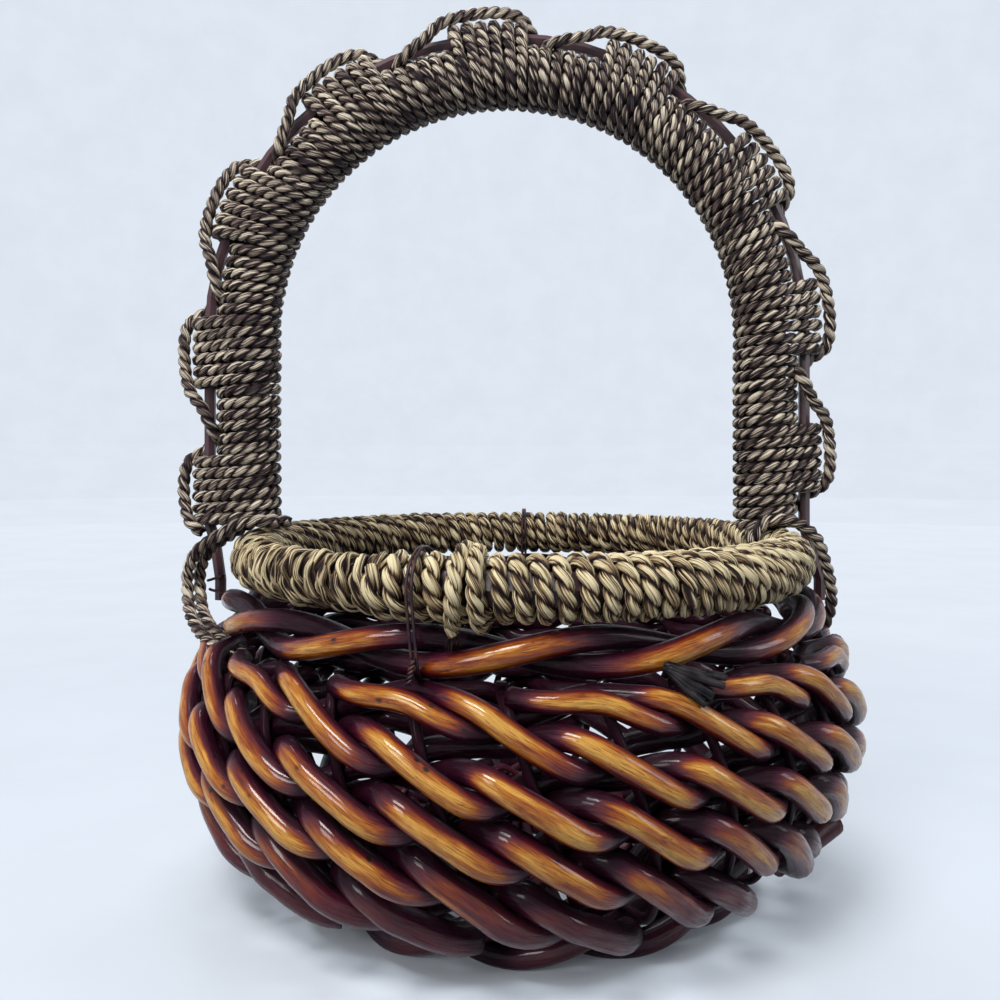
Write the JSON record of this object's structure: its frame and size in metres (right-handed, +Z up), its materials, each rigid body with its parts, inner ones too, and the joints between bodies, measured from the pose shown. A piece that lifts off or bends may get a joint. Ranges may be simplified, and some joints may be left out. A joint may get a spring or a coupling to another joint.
{
  "type": "rattan basket",
  "caption": "Round bellied basket woven from thick stained rattan rods, with a rope-wound rim and a tall arched handle.",
  "frame": {"origin": "on the floor, under the middle of the bounding box", "axes": "+Z up, -Y towards the front, and the handle's arch stands in the XZ plane"},
  "size_m": [0.2614, 0.2552, 0.3316],
  "materials": {
    "rattan_rod": "gloss",
    "rattan_border": "gloss",
    "rattan_spoke": "satin",
    "dark_cane": "satin",
    "seagrass_rope": "matte",
    "straw_rope": "matte",
    "wire": "satin"
  },
  "bodies": {
    "root": {"base_reed": "rattan_spoke", "border_rod": "rattan_border", "foot_rod": "rattan_border", "handle_core": "dark_cane", "handle_rib": "dark_cane", "handle_winding": "seagrass_rope", "left_lashing_inner": "seagrass_rope", "left_lashing_outer": "seagrass_rope", "right_lashing": "seagrass_rope", "rim_hoop": "dark_cane", "rim_knot": "straw_rope", "rim_winding": "straw_rope", "scallop_cord": "seagrass_rope", "spoke_01": "rattan_spoke", "spoke_02": "rattan_spoke", "spoke_03": "rattan_spoke", "spoke_04": "rattan_spoke", "spoke_05": "rattan_spoke", "spoke_06": "rattan_spoke", "spoke_07": "rattan_spoke", "spoke_08": "rattan_spoke", "spoke_09": "rattan_spoke", "spoke_10": "rattan_spoke", "spoke_11": "rattan_spoke", "spoke_12": "rattan_spoke", "spoke_13": "rattan_spoke", "weaver_rod_01": "rattan_rod", "weaver_rod_02": "rattan_rod", "weaver_rod_03": "rattan_rod", "weaver_rod_04": "rattan_rod", "weaver_rod_05": "rattan_rod", "weaver_rod_06": "rattan_rod", "weaver_rod_07": "rattan_rod", "weaver_rod_08": "rattan_rod", "weaver_rod_09": "rattan_rod", "weaver_rod_10": "rattan_rod", "weaver_rod_11": "rattan_rod", "weaver_rod_12": "rattan_rod", "weaver_rod_13": "rattan_rod", "wire_tie_1": "wire", "wire_tie_2": "wire"}
  },
  "joints": []
}
